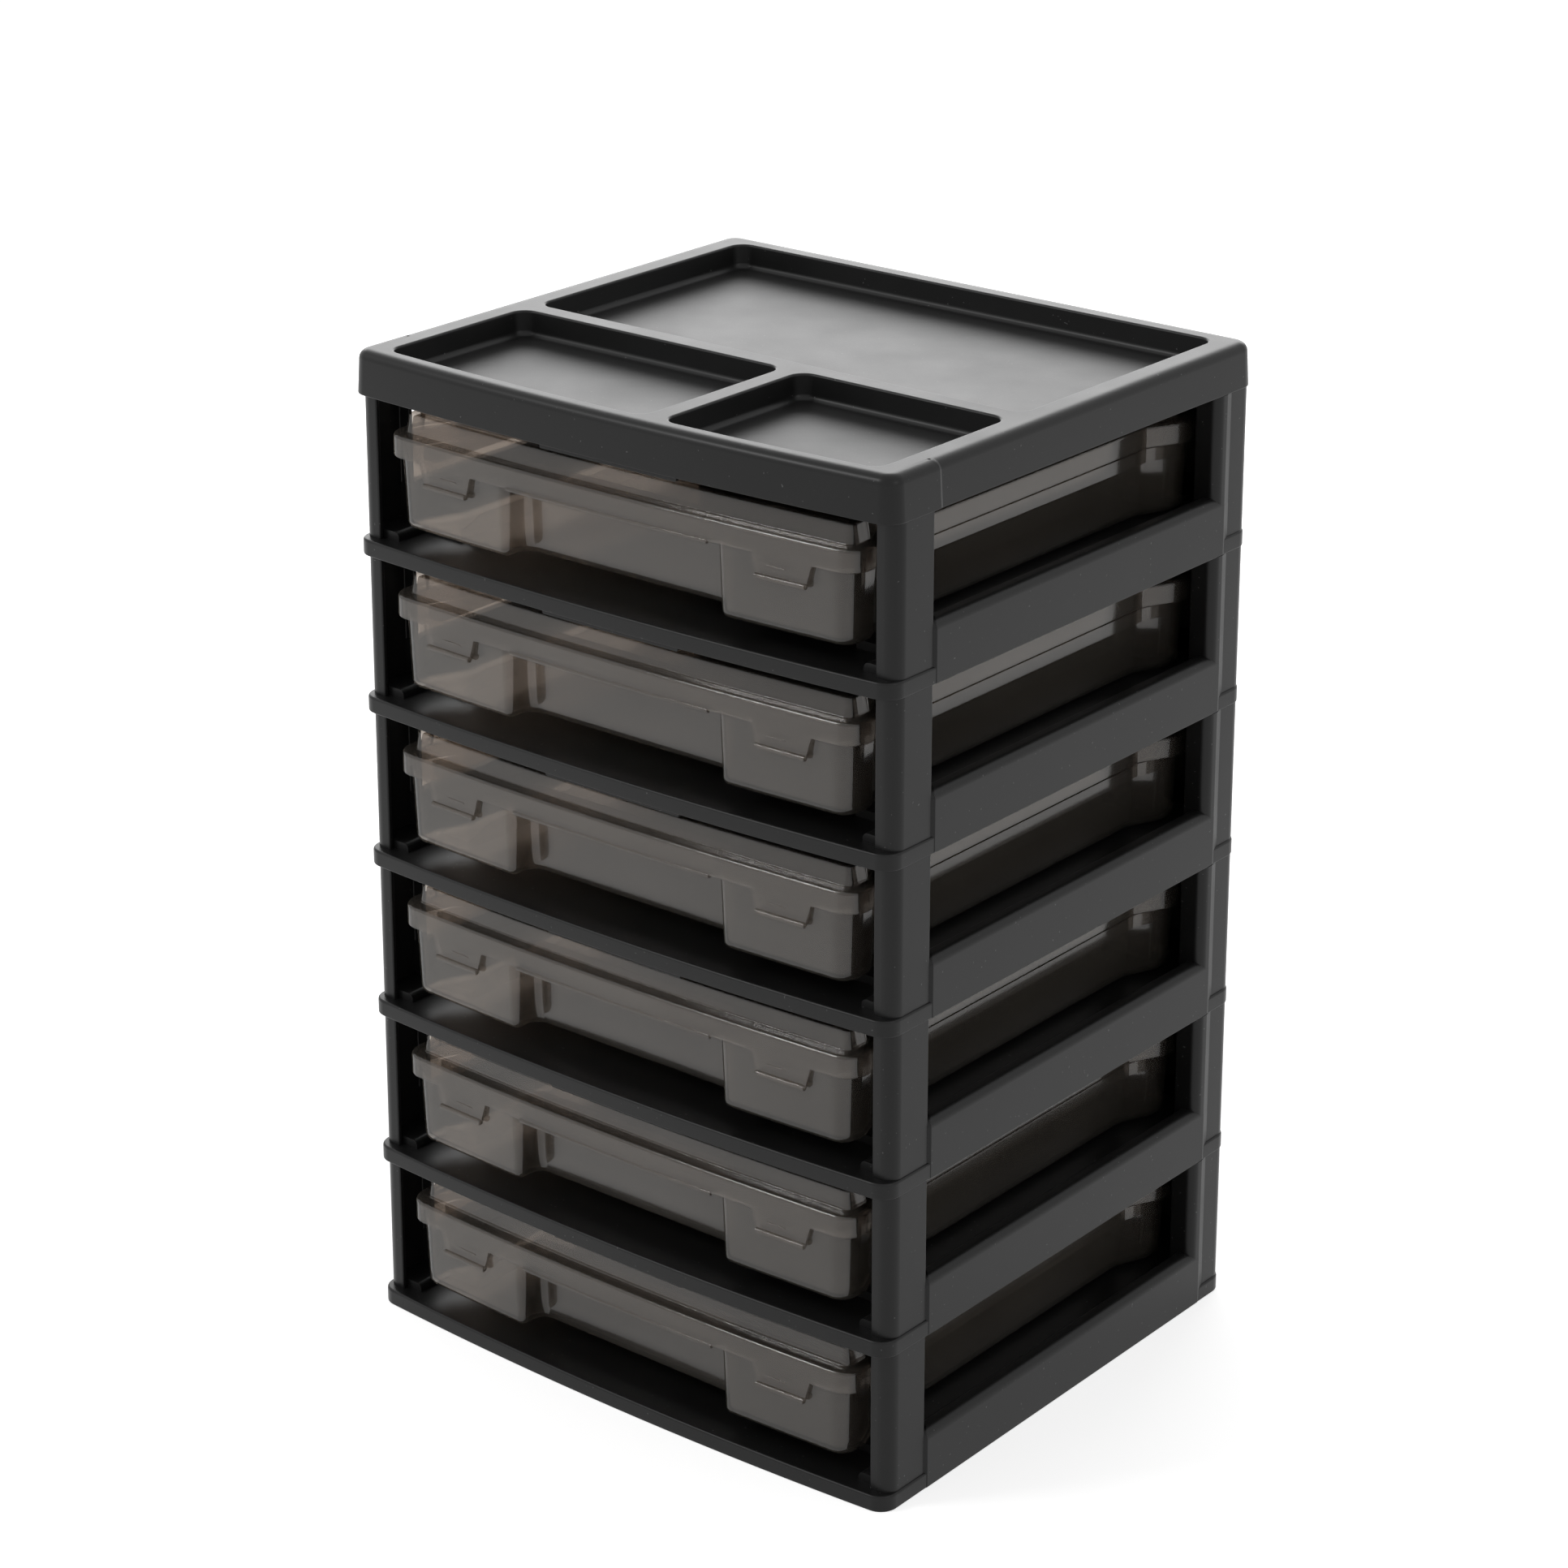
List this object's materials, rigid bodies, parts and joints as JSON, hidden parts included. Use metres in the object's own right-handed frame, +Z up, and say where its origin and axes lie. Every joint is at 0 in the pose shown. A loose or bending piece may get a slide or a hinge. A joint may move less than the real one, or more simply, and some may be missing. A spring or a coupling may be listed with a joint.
{
  "type": "craft case tower",
  "caption": "Stacked open frame tower holding flat lidded storage cases that slide out to the front, with a divided organizer tray on top.",
  "frame": {"origin": "on the floor under the middle of the tower", "axes": "+X to the right along the front, +Y from the front to the back, +Z up"},
  "size_m": [0.405, 0.361, 0.627],
  "materials": {
    "black_plastic": "fine matte grain",
    "smoke_plastic": "glossy smoke-grey translucent"
  },
  "bodies": {
    "tower": {"organizer_tray": "black_plastic", "tier_frame_1": "black_plastic", "tier_frame_2": "black_plastic", "tier_frame_3": "black_plastic", "tier_frame_4": "black_plastic", "tier_frame_5": "black_plastic", "tier_frame_6": "black_plastic"},
    "case_1": {"case_base_1": "smoke_plastic", "case_lid_1": "smoke_plastic"},
    "case_2": {"case_base_2": "smoke_plastic", "case_lid_2": "smoke_plastic"},
    "case_3": {"case_base_3": "smoke_plastic", "case_lid_3": "smoke_plastic"},
    "case_4": {"case_base_4": "smoke_plastic", "case_lid_4": "smoke_plastic"},
    "case_5": {"case_base_5": "smoke_plastic", "case_lid_5": "smoke_plastic"},
    "case_6": {"case_base_6": "smoke_plastic", "case_lid_6": "smoke_plastic"}
  },
  "joints": [
    {"name": "case_slide_1", "type": "slide", "parent": "tower", "child": "case_1", "axis": [0, -1, 0], "range_m": [0, 0.37]},
    {"name": "case_slide_2", "type": "slide", "parent": "tower", "child": "case_2", "axis": [0, -1, 0], "range_m": [0, 0.37]},
    {"name": "case_slide_3", "type": "slide", "parent": "tower", "child": "case_3", "axis": [0, -1, 0], "range_m": [0, 0.37]},
    {"name": "case_slide_4", "type": "slide", "parent": "tower", "child": "case_4", "axis": [0, -1, 0], "range_m": [0, 0.37]},
    {"name": "case_slide_5", "type": "slide", "parent": "tower", "child": "case_5", "axis": [0, -1, 0], "range_m": [0, 0.37]},
    {"name": "case_slide_6", "type": "slide", "parent": "tower", "child": "case_6", "axis": [0, -1, 0], "range_m": [0, 0.37]}
  ]
}
